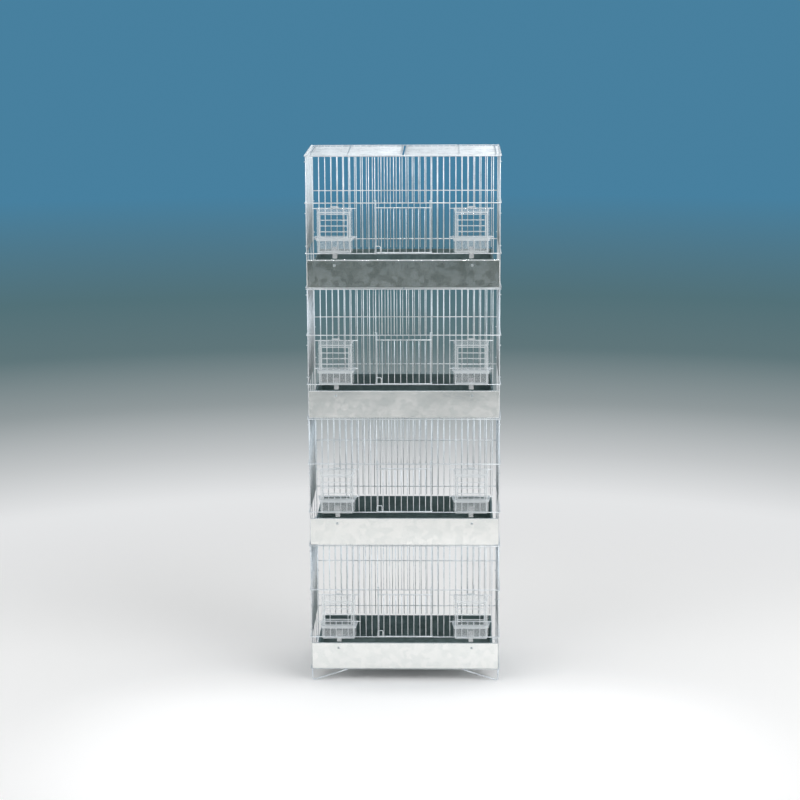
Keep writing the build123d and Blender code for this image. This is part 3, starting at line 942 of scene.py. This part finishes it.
class CAGE_OT_side_grilles(bpy.types.Operator):
    """Models the side grilles, with their corner posts and the runners for the drawers"""
    bl_idname = "cage.side_grilles"
    bl_label = "Side grilles"

    def execute(self, context):
        wire = context.scene.cage_wires
        for name, side in SIDES.items():
            self.model_side(wire, name, side)
        return {"FINISHED"}

    def model_side(self, wire, name, side):
        seam_x = side * (SIDE_FACE - 2 * wire.rail)
        rail_x = side * (SIDE_FACE - wire.rail)
        post_x = seam_x - side * wire.post_inset
        inset = grille_depth(wire) + wire.post_inset
        posts_y = (FRONT_FACE + inset, REAR_FACE - inset)
        origin = at(seam_x - side * wire.seat * wire.fill, MIDDLE_Y, 0)
        step = Vector((0, wire.pitch, 0))
        head = wire.top_rail + wire.rail
        rails = (wire.base_rail, wire.bottom_rail, wire.middle_rail, wire.top_rail)
        start_piece(f"{name}_grille")
        lay_uprights(origin, step, SIDE_RUNS, wire.bottom_rail - wire.rail, head, wire.fill)
        long_step = step * 2 * LONG_WIRE
        lay_uprights(origin, long_step, PAIR, wire.base_rail - wire.rail, head, wire.fill)
        for z in rails:
            lay_wire([at(rail_x, FRONT_FACE, z), at(rail_x, REAR_FACE, z)], wire.rail)
        for y in posts_y:
            ends = (wire.play, CAGE_PITCH - wire.play)
            lay_wire([at(post_x, y, z) for z in ends], wire.post)
        self.lay_runner(wire, side, seam_x, step)
        places = [at(seam_x, y, z) for z in rails[1:] for y in side_wires(wire)]
        places += [at(seam_x, MIDDLE_Y + n * wire.pitch, rails[0]) for n in (-LONG_WIRE, LONG_WIRE)]
        places += [at(seam_x, y, z) for z in rails for y in posts_y]
        finish_grille(wire, f"{name}_grille", places, flat=0)

    def lay_runner(self, wire, side, seam_x, step):
        """Draws the wire that a drawer slides on, on three stubs from the base rail."""
        runner_x = side * wire.runner
        first_y = MIDDLE_Y - RUNNER_STUB * wire.pitch
        stub = [at(x, first_y, wire.base_rail) for x in (seam_x, runner_x - side * wire.rail)]
        lay_row(*stub, wire.rail, step * RUNNER_STUB, 3)
        ends = (FRONT_FACE + wire.runner_end, REAR_FACE - wire.runner_end)
        lay_wire([at(runner_x, y, wire.base_rail + 2 * wire.rail) for y in ends], wire.rail)


class CAGE_OT_roof_grilles(bpy.types.Operator):
    """Models the roofs, each in two halves with a slot between them"""
    bl_idname = "cage.roof_grilles"
    bl_label = "Roof grilles"

    def execute(self, context):
        wire = context.scene.cage_wires
        seam_z = wire.top_rail - wire.rail
        wire_z = seam_z - wire.seat * wire.fill
        slot = wire.roof_slot / 2
        wires = side_wires(wire)
        braces = (slot + wire.rail, ROOF_BRACE * wire.pitch, wire.half_count * wire.pitch)
        ends_y = (FRONT_FACE + 2 * wire.rail, REAR_FACE - 2 * wire.rail)
        places = []
        start_piece("roof_grille")
        for side in SIDES.values():
            ends = [at(side * x, wires[0], wire_z) for x in (slot, SIDE_FACE - grille_depth(wire))]
            lay_row(*ends, wire.fill, Vector((0, wire.pitch, 0)), len(wires))
            for x in braces:
                lay_wire([at(side * x, y, wire.top_rail) for y in ends_y], wire.rail)
                places += [at(side * x, y, seam_z) for y in wires]
        finish_grille(wire, "roof_grille", places, flat=2)
        return {"FINISHED"}


class CAGE_OT_corner_rings(bpy.types.Operator):
    """Models the split rings that tie the grilles together at the corners"""
    bl_idname = "cage.corner_rings"
    bl_label = "Corner rings"

    def execute(self, context):
        wire = context.scene.cage_wires
        corner_x = SIDE_FACE - 2 * wire.rail - wire.post_inset
        inset = grille_depth(wire) + wire.play
        start_piece("corner_rings")
        for y, open_side in ((FRONT_FACE + inset, 1), (REAR_FACE - inset, -1)):
            corners = [side * corner_x for side in SIDES.values()]
            places = crossings(corners, y, wire.ring_heights)
            self.bend_ring(wire, places[0], open_side)
            bpy.ops.mesh.select_linked()
            copy_along(places)
        round_tips(wire.ring_wire)
        stack_up(close_piece(), "corner_rings", [galvanised_wire()], "wire")
        return {"FINISHED"}

    def bend_ring(self, wire, centre, open_side):
        """A ring with a narrow gap towards the inside of the cage."""
        bearing = open_side * math.pi / 2 + wire.ring_gap
        start = centre + Vector((math.cos(bearing), math.sin(bearing), 0)) * wire.ring
        bpy.ops.mesh.select_all(action="DESELECT")
        bpy.ops.mesh.primitive_circle_add(
            vertices=RING_SIDES, radius=wire.ring_wire, fill_type="NGON", location=start,
            rotation=(math.pi / 2, 0, bearing),
        )
        turn = 2 * math.pi - 2 * wire.ring_gap
        bpy.ops.mesh.spin(steps=RING_STEPS, angle=-turn, center=centre, axis=UP)


class CAGE_OT_doors(bpy.types.Operator):
    """Models the sliding doors, with hooks that run on the front wires and a pull loop"""
    bl_idname = "cage.doors"
    bl_label = "Doors"

    def execute(self, context):
        wire = context.scene.cage_wires
        door = context.scene.cage_door
        foot = DOOR_LOW.z - STACK_BASE
        wire_y = FRONT_FACE - wire.play - door.wire
        seam_y = wire_y - door.wire
        bar_y = seam_y - door.bar
        tail_y = FRONT_FACE + door.tail
        hook_x = GUIDE_WIRE * wire.pitch - wire.fill - wire.play - door.wire
        bar_x = hook_x + door.overhang
        bars = (foot + door.bar, door.head)
        step = Vector((wire.pitch, 0, 0))
        start_piece("door")
        lay_uprights(at(0, wire_y, 0), step, DOOR_RUNS, foot, door.head + door.bar, door.wire)
        for z in bars:
            lay_wire([at(-bar_x, bar_y, z), at(bar_x, bar_y, z)], door.bar)
        low = foot + door.wire
        high = DOOR_HIGH.z - STACK_BASE - door.wire
        hook = [(DOOR_HIGH.x, tail_y, low), (hook_x, tail_y, low), (hook_x, wire_y, low)]
        hook += [(x, y, high) for x, y, z in reversed(hook)]
        for side in SIDES.values():
            lay_wire([at(side * x, y, z) for x, y, z in hook], door.wire, door.bend)
        left = door.pull - bar_x
        right = left + door.pull_width - 2 * door.pull
        crown = foot + door.pull_height - door.pull
        loop = [(left, foot), (left, crown), (right, crown), (right, foot)]
        pull_y = bar_y - door.bar - door.pull
        lay_wire([at(x, pull_y, z) for x, z in loop], door.pull, door.pull_bend)
        round_tips(door.wire)
        uprights = [x for x in front_wires(wire) if abs(x) < DOOR_EDGE * wire.pitch]
        places = crossings([*uprights, -hook_x, hook_x], seam_y, bars)
        places += crossings((left, right), bar_y - door.bar, bars[:1])
        add_welds(places, bead(wire, flat=1))
        finish = galvanised_wire("bright_door_wire")
        stack_up(close_piece(), "door", [finish], "door_wire", "_door")
        return {"FINISHED"}


class CAGE_OT_drawers(bpy.types.Operator):
    """Models the sheet drawers: a folded pan and a front with a rolled edge and rivets"""
    bl_idname = "cage.drawers"
    bl_label = "Drawers"

    def execute(self, context):
        drawer = context.scene.cage_drawer
        looks = context.scene.cage_finish
        pan = self.model_pan(drawer)
        outside = spangled_sheet("pan_outside", looks.outside, looks.outside_dull, looks.weathered)
        stack_up(pan, "drawer_pan", [outside, dull_sheet()], "pan_sheet", "_drawer")
        front = self.model_front(drawer)
        bright = spangled_sheet("spangled_sheet", looks.spangle, looks.spangle_dull, 0.0)
        stack_up(front, "drawer_front", [bright, outside], "front_sheet", "_drawer")
        return {"FINISHED"}

    def model_pan(self, drawer):
        """A block without a lid, folded at its edges, with a turned-out rim on three sides."""
        brim = PAN_HIGH.z
        width, depth, _ = PAN_HIGH - PAN_LOW
        piece = start_block("drawer_pan", PAN_LOW, PAN_HIGH)
        cut_away(lambda face: all_near(face, 2, brim))
        choose("EDGE", lambda edge: not all_near(edge, 2, brim))
        round_off(drawer.fold, 3)
        behind = PAN_LOW.y + drawer.fold * 1.5
        choose("EDGE", lambda edge: all_near(edge, 2, brim) and middle_of(edge).y > behind)
        draw_out((0, 0, 0))
        wider = (1 + 2 * drawer.rim / width, 1 + drawer.rim / depth, 1)
        stretch(wider, (0, PAN_LOW.y + drawer.fold, brim))
        draw_out((0, 0, -2 * drawer.rim))
        face_out(-UP)
        close_piece(SMOOTH_SHEET)
        open_slots(piece)
        # The inside faces take the second finish, the sheet darkened as painted shade
        thicken(piece, drawer.gauge, inner_slot=1)
        soften(piece, drawer.cut, SOFT_SHEET)
        keep_flats(piece)
        return piece

    def model_front(self, drawer):
        """A flat sheet with a rolled top edge, folded edges on the other sides and two rivets."""
        half = SHEET_HIGH.x + drawer.lap
        face_y = FRONT_FACE + drawer.inset
        foot = SHEET_LOW.z
        neck = SHEET_HIGH.z - drawer.bead
        middle = Vector((0, face_y, (foot + neck) / 2))
        piece = start_piece("drawer_front")
        bpy.ops.mesh.primitive_plane_add(size=1.0, location=middle, rotation=(math.pi / 2, 0, 0))
        stretch((2 * half, 1, neck - foot), middle)
        edges = ((2, foot), (0, half), (0, -half))
        choose("EDGE", lambda edge: any(all_near(edge, axis, place) for axis, place in edges))
        draw_out((0, drawer.hem, 0))
        choose("EDGE", lambda edge: all_near(edge, 1, face_y) and not all_near(edge, 2, neck))
        round_off(drawer.crease, 3)
        choose("EDGE", lambda edge: all_near(edge, 2, neck) and all_near(edge, 1, face_y))
        centre = (0, face_y - (drawer.bead - drawer.gauge), neck)
        bpy.ops.mesh.spin(steps=ROLL_STEPS, angle=-drawer.roll, center=centre, axis=(1, 0, 0))
        face_out(Vector((0, -1, 0)))
        close_piece(SMOOTH_SHEET)
        thicken(piece, drawer.gauge)
        open_slots(piece)
        bpy.ops.object.mode_set(mode="EDIT")
        for side in SIDES.values():
            place = at(side * drawer.rivet_x, face_y, drawer.rivet_z)
            bpy.ops.mesh.select_all(action="DESELECT")
            bpy.ops.mesh.primitive_uv_sphere_add(
                segments=20, ring_count=10, radius=drawer.rivet, location=place,
                rotation=(math.pi / 2, 0, 0),
            )
            stretch((1, drawer.rivet_rise, 1), place)
            mark_second(piece)
        close_piece(SMOOTH_SHEET)
        keep_flats(piece)
        return piece


class CAGE_OT_feeders(bpy.types.Operator):
    """Models the clear feeders, each a cup and a hood with a slotted window, and finishes their clips"""
    bl_idname = "cage.feeders"
    bl_label = "Feeders"

    def execute(self, context):
        feeder = context.scene.cage_feeder
        finishes = [clear_plastic(), frosted_plastic()]
        milky = clip_plastic()
        to_left = Vector((-2 * FEEDER_X, 0, 0))
        for part, right in (("cup", self.model_cup(feeder)), ("hood", self.model_hood(feeder))):
            left = copy_piece(right, f"left_feeder_{part}", to_left)
            for name, piece in (("left", left), ("right", right)):
                stack_up(piece, f"{name}_feeder_{part}", finishes, "clear_plastic", f"_{name}_feeder")
        for name, node in frame["nodes"].items():
            if name.endswith("feeder_clip"):
                node.data.materials.clear()
                node.data.materials.append(milky)
        return {"FINISHED"}

    def half_width(self, feeder, low, high, y):
        """Half the width of the tapered moulding at a depth."""
        return (high.x - low.x) / 2 - feeder.taper * (high.y - y) / (high.y - low.y)

    def draw_together(self, feeder, low, high, y, z):
        """Draws two front corners of a block together, as far as their depth asks."""
        choose("VERT", lambda corner: near(corner.co.y, y) and near(corner.co.z, z))
        narrow = self.half_width(feeder, low, high, y) / self.half_width(feeder, low, high, high.y)
        stretch((narrow, 1, 1), (FEEDER_X, y, z))

    def lean_in(self, feeder, low, high, z, lean, drop):
        """Moves the front corners at a height back and down, and tapers the block's front."""
        choose("VERT", lambda corner: near(corner.co.y, low.y) and near(corner.co.z, z))
        bpy.ops.transform.translate(value=(0, lean, -drop))
        other = low.z if z == high.z else high.z
        self.draw_together(feeder, low, high, low.y, other)
        self.draw_together(feeder, low, high, low.y + lean, z - drop)

    def round_sides(self, feeder, low, high, open_z):
        """Rounds the edges of the two side walls, apart from those at the open sides."""
        def on_side(corner):
            half = self.half_width(feeder, low, high, corner.co.y)
            return near(abs(corner.co.x - FEEDER_X), half, 2 * SLACK)

        def along_side(edge):
            first, second = [corner.co.x - FEEDER_X for corner in edge.verts]
            return first * second > 0 and all(on_side(corner) for corner in edge.verts)

        def is_open(edge):
            return all_near(edge, 2, open_z) or all_near(edge, 1, high.y)

        choose("EDGE", lambda edge: along_side(edge) and not is_open(edge))
        round_off(feeder.corner, 4)

    def model_cup(self, feeder):
        """A tapered tub with a rounded nose and a rim that turns out and down."""
        low = Vector((HOOD_LOW.x, HOOD_LOW.y, CUP_LOW.z))
        high = Vector((HOOD_HIGH.x, CUP_HIGH.y, CUP_HIGH.z))
        nose_y = low.y + feeder.lean
        piece = start_block("right_feeder_cup", low, high)
        self.lean_in(feeder, low, high, low.z, feeder.lean, 0.0)
        choose("EDGE", lambda edge: all_near(edge, 1, nose_y) and all_near(edge, 2, low.z))
        round_off(feeder.nose, 6)
        cut_away(lambda face: all_near(face, 2, high.z))
        self.round_sides(feeder, low, high, high.z)
        choose("EDGE", lambda edge: all_near(edge, 2, high.z) and not all_near(edge, 1, high.y))
        draw_out((0, 0, 0))
        half = (high.x - low.x) / 2
        wider = (1 + feeder.flange / half, 1 + feeder.flange / (high.y - low.y), 1)
        stretch(wider, (FEEDER_X, high.y, high.z))
        draw_out((0, 0, -feeder.lip))
        rim = high.z - feeder.lip
        self.mould(piece, feeder, -UP, lambda face: middle_of(face).z > rim)
        return piece

    def model_hood(self, feeder):
        """A roofed hood, open at its back and foot, with a slotted window in a raised frame."""
        low = HOOD_LOW.copy()
        high = Vector((HOOD_HIGH.x, CUP_HIGH.y, HOOD_HIGH.z))
        nose_y = low.y + feeder.hood_lean
        nose_z = high.z - feeder.drop
        piece = start_block("right_feeder_hood", low, high)
        self.lean_in(feeder, low, high, high.z, feeder.hood_lean, feeder.drop)
        cut_away(lambda face: all_near(face, 2, low.z) or all_near(face, 1, high.y))
        choose("EDGE", lambda edge: all_near(edge, 2, nose_z) and all_near(edge, 1, nose_y))
        round_off(feeder.corner, 4)
        self.round_sides(feeder, low, high, low.z)
        self.cut_window(feeder, low, nose_z)
        self.raise_catch(feeder, high)
        reach = feeder.window / 2 + feeder.frame
        foot = low.z + feeder.sill - feeder.frame
        head = nose_z - feeder.window_head + feeder.frame

        def on_rib(face):
            x, y, z = middle_of(face)
            on_front = y < nose_y + feeder.wall and abs(x - FEEDER_X) < reach and foot < z < head
            on_catch = z > high.z + feeder.catch_rise * 0.2 or y > high.y + feeder.wall * 0.2
            return on_front or on_catch

        self.mould(piece, feeder, UP, on_rib)
        return piece

    def cut_window(self, feeder, low, nose_z):
        """Cuts the slots in the hood's front and raises a frame round them."""
        half = feeder.window / 2
        foot = low.z + feeder.sill
        head = nose_z - feeder.window_head
        pitch = (head - foot + feeder.bar) / feeder.slots
        slots = [(foot + n * pitch, foot + (n + 1) * pitch - feeder.bar) for n in range(feeder.slots)]
        heights = [z for slot in slots for z in slot] + [foot - feeder.frame, head + feeder.frame]
        widths = [side * x for side in SIDES.values() for x in (half, half + feeder.frame)]
        cuts = [((FEEDER_X + x, 0, 0), (1, 0, 0)) for x in widths]
        cuts += [((0, 0, z), (0, 0, 1)) for z in heights]
        for place, normal in cuts:
            cut_along(lambda face: abs(face.normal.y) > SQUARE, place, normal)

        def in_window(face, rim):
            x, _, z = middle_of(face)
            inside = abs(x - FEEDER_X) < half + rim and foot - rim < z < head + rim
            return inside and abs(face.normal.y) > SQUARE

        def in_slot(face):
            return in_window(face, 0.0) and any(a < middle_of(face).z < b for a, b in slots)

        cut_away(in_slot)
        choose("FACE", lambda face: in_window(face, feeder.frame) and not in_window(face, 0.0))
        draw_out((0, -feeder.raise_by, 0))

    def raise_catch(self, feeder, high):
        """Draws a tongue from the hood's roof and raises a bar in front of it."""
        left = FEEDER_X - feeder.tongue / 2
        right = FEEDER_X + feeder.tongue / 2
        catch_y = high.y - feeder.catch

        def between(part):
            return left < middle_of(part).x < right

        def on_roof(face):
            return face.normal.z > MOSTLY

        def on_strip(face):
            return on_roof(face) and between(face)

        def at_back(edge):
            return all_near(edge, 1, high.y) and all_near(edge, 2, high.z)

        for x in (left, right):
            cut_along(on_roof, (x, 0, 0), (1, 0, 0))
        cut_along(on_strip, (0, catch_y, 0), (0, 1, 0))
        choose("EDGE", lambda edge: at_back(edge) and between(edge))
        draw_out((0, feeder.lap, 0))
        choose("FACE", lambda face: on_strip(face) and catch_y < middle_of(face).y < high.y)
        draw_out((0, 0, feeder.catch_rise))

    def mould(self, piece, feeder, outward, on_rib):
        """Turns a skin into a moulding with softened edges, with whiter plastic on its corners and ribs
        as a painted highlight.
        """
        face_out(outward)
        close_piece(SMOOTH_MOULD)
        thicken(piece, feeder.wall)
        soften(piece, feeder.cut, SOFT_MOULD)
        keep_flats(piece)

        def on_corner(face):
            return max(abs(axis) for axis in face.normal) < ROUNDED

        bpy.ops.object.mode_set(mode="EDIT")
        choose("FACE", lambda face: on_corner(face) or on_rib(face))
        open_slots(piece)
        mark_second(piece)
        bpy.ops.object.mode_set(mode="OBJECT")


class CAGE_OT_stands(bpy.types.Operator):
    """Models the bent wire stands under the lowest cage"""
    bl_idname = "cage.stands"
    bl_label = "Stands"

    def execute(self, context):
        wire = context.scene.cage_wires
        stand = context.scene.cage_stand
        long_bead = Vector((1.5, 1.0, 1.0)) * wire.weld
        for name in ("front_stand", "rear_stand"):
            low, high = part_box(name)
            y = (low.y + high.y) / 2
            leg_x = high.x - wire.post_inset
            bar_x = leg_x - wire.post_inset
            bar_z = high.z - wire.rail
            leg = [(leg_x, high.z - wire.play), (leg_x, wire.post), (leg_x - stand.foot, wire.post)]
            leg.append((leg_x - stand.brace, bar_z - wire.rail))
            start_piece(name)
            lay_wire([Vector((side * bar_x, y, bar_z)) for side in SIDES.values()], wire.rail)
            for side in SIDES.values():
                lay_wire([Vector((side * x, y, z)) for x, z in leg], wire.post, stand.bend)
            round_tips(wire.fill)
            welds = [side * x for side in SIDES.values() for x in (bar_x, leg_x - stand.brace_weld)]
            add_welds([Vector((x, y, bar_z)) for x in welds], long_bead)
            piece = close_piece()
            give(piece, [galvanised_wire()], "wire", "cage_1", name)
            piece.name = f"{name}.wire"
        return {"FINISHED"}


class CAGE_OT_stage(bpy.types.Operator):
    """Sets the floor, the lamps, the backdrop and the camera"""
    bl_idname = "cage.stage"
    bl_label = "Stage"

    def execute(self, context):
        stage = context.scene.cage_stage
        bpy.ops.object.select_all(action="DESELECT")
        bpy.ops.mesh.primitive_circle_add(vertices=96, radius=stage.floor_radius, fill_type="NGON")
        floor = context.object
        floor.name = "floor"
        floor.data.materials.append(pale_floor())
        for name, (power, *placing) in LAMPS.items():
            self.hang_lamp(name, getattr(stage, power), *placing)
        context.scene.world = far_sky()
        self.set_camera(context.scene, stage)
        context.scene.view_settings.view_transform = "Standard"
        return {"FINISHED"}

    def hang_lamp(self, name, power, place, aim, width, height, spread):
        """A soft rectangular lamp that points at a place."""
        bpy.ops.object.light_add(type="AREA", location=place)
        lamp = bpy.context.object
        lamp.name = name
        lamp.data.shape = "RECTANGLE"
        lamp.data.size = width
        lamp.data.size_y = height
        lamp.data.energy = power
        lamp.data.spread = math.radians(spread)
        lamp.rotation_euler = (Vector(aim) - Vector(place)).to_track_quat("-Z", "Y").to_euler()

    def set_camera(self, scene, stage):
        bpy.ops.object.camera_add(location=stage.camera)
        camera = bpy.context.object
        camera.name = "camera"
        sight = (Vector(stage.aim) - Vector(stage.camera)).to_track_quat("-Z", "Y")
        camera.rotation_euler = sight.to_euler()
        camera.rotation_euler.rotate_axis("Z", stage.roll)
        camera.data.lens = stage.lens
        camera.data.sensor_width = 36.0
        camera.data.clip_end = 200.0
        scene.camera = camera


class CAGE_PT_stack(bpy.types.Panel):
    """Lists the pieces of the stack and their sizes"""
    bl_idname = "CAGE_PT_stack"
    bl_label = "Bird cages"
    bl_space_type = "VIEW_3D"
    bl_region_type = "UI"
    bl_category = "Cages"

    def draw(self, context):
        layout = self.layout
        for operator in OPERATORS:
            layout.operator(operator.bl_idname)
        for name, group in GROUPS.items():
            box = layout.box()
            box.label(text=name.replace("cage_", "").capitalize())
            for field in group.__annotations__:
                box.prop(getattr(context.scene, name), field)


GROUPS = {
    "cage_wires": CAGE_PG_wires,
    "cage_door": CAGE_PG_door,
    "cage_drawer": CAGE_PG_drawer,
    "cage_feeder": CAGE_PG_feeder,
    "cage_stand": CAGE_PG_stand,
    "cage_finish": CAGE_PG_finish,
    "cage_stage": CAGE_PG_stage,
}
OPERATORS = (
    CAGE_OT_stage,
    CAGE_OT_front_grilles,
    CAGE_OT_rear_grilles,
    CAGE_OT_side_grilles,
    CAGE_OT_roof_grilles,
    CAGE_OT_corner_rings,
    CAGE_OT_doors,
    CAGE_OT_drawers,
    CAGE_OT_feeders,
    CAGE_OT_stands,
)


def register():
    for name, group in GROUPS.items():
        bpy.utils.register_class(group)
        setattr(bpy.types.Scene, name, bpy.props.PointerProperty(type=group))
    for operator in OPERATORS:
        bpy.utils.register_class(operator)
    bpy.utils.register_class(CAGE_PT_stack)


def unregister():
    bpy.utils.unregister_class(CAGE_PT_stack)
    for operator in reversed(OPERATORS):
        bpy.utils.unregister_class(operator)
    for name, group in GROUPS.items():
        delattr(bpy.types.Scene, name)
        bpy.utils.unregister_class(group)


def main():
    register()
    for node in frame["nodes"].values():
        node.select_set(False)
    bpy.ops.cage.stage()
    bpy.ops.cage.front_grilles()
    bpy.ops.cage.rear_grilles()
    bpy.ops.cage.side_grilles()
    bpy.ops.cage.roof_grilles()
    bpy.ops.cage.corner_rings()
    bpy.ops.cage.doors()
    bpy.ops.cage.drawers()
    bpy.ops.cage.feeders()
    bpy.ops.cage.stands()


if __name__ == "__main__":
    main()
